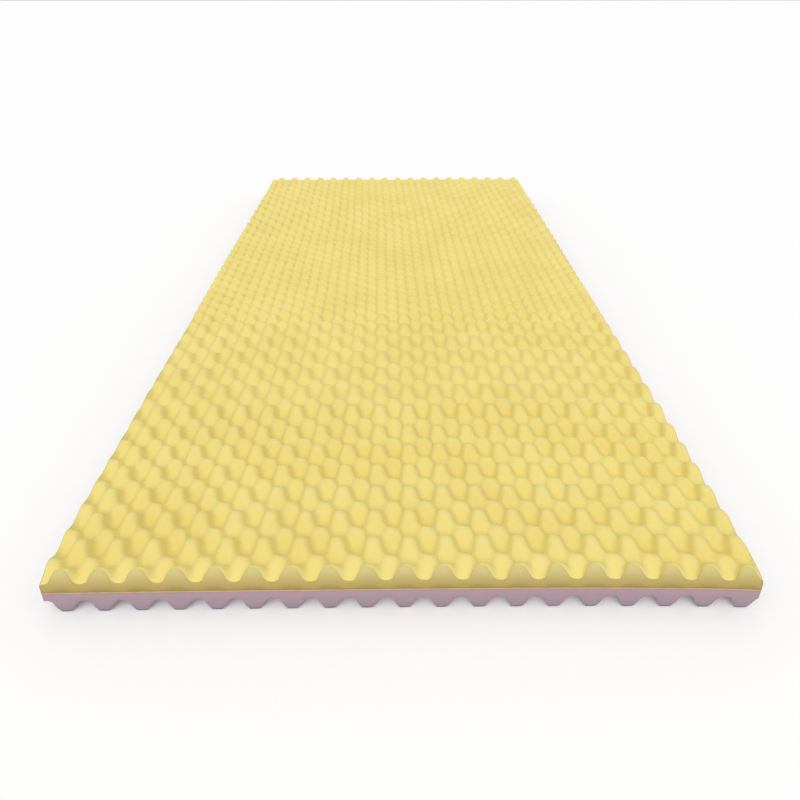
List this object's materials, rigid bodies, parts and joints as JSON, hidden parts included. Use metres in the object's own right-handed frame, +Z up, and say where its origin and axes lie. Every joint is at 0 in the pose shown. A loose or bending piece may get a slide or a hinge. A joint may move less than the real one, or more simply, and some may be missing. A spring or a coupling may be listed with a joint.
{
  "type": "mattress topper",
  "caption": "Flat rectangular mattress topper of two foam sheets glued back to back, with staggered peaks on its top and under it.",
  "frame": {"origin": "centre of the footprint at the level of the lower layer's tips, on which the topper rests", "axes": "+Y along the length, from the foot end seen in the picture to the far end; +Z up, towards the yellow peaks; +X to the right as seen from the foot end"},
  "size_m": [1, 2, 0.085],
  "materials": {
    "yellow_foam": "matte open-cell foam",
    "mauve_foam": "matte open-cell foam"
  },
  "bodies": {
    "root": {"upper_foam_layer": "yellow_foam", "lower_foam_layer": "mauve_foam"}
  },
  "joints": []
}
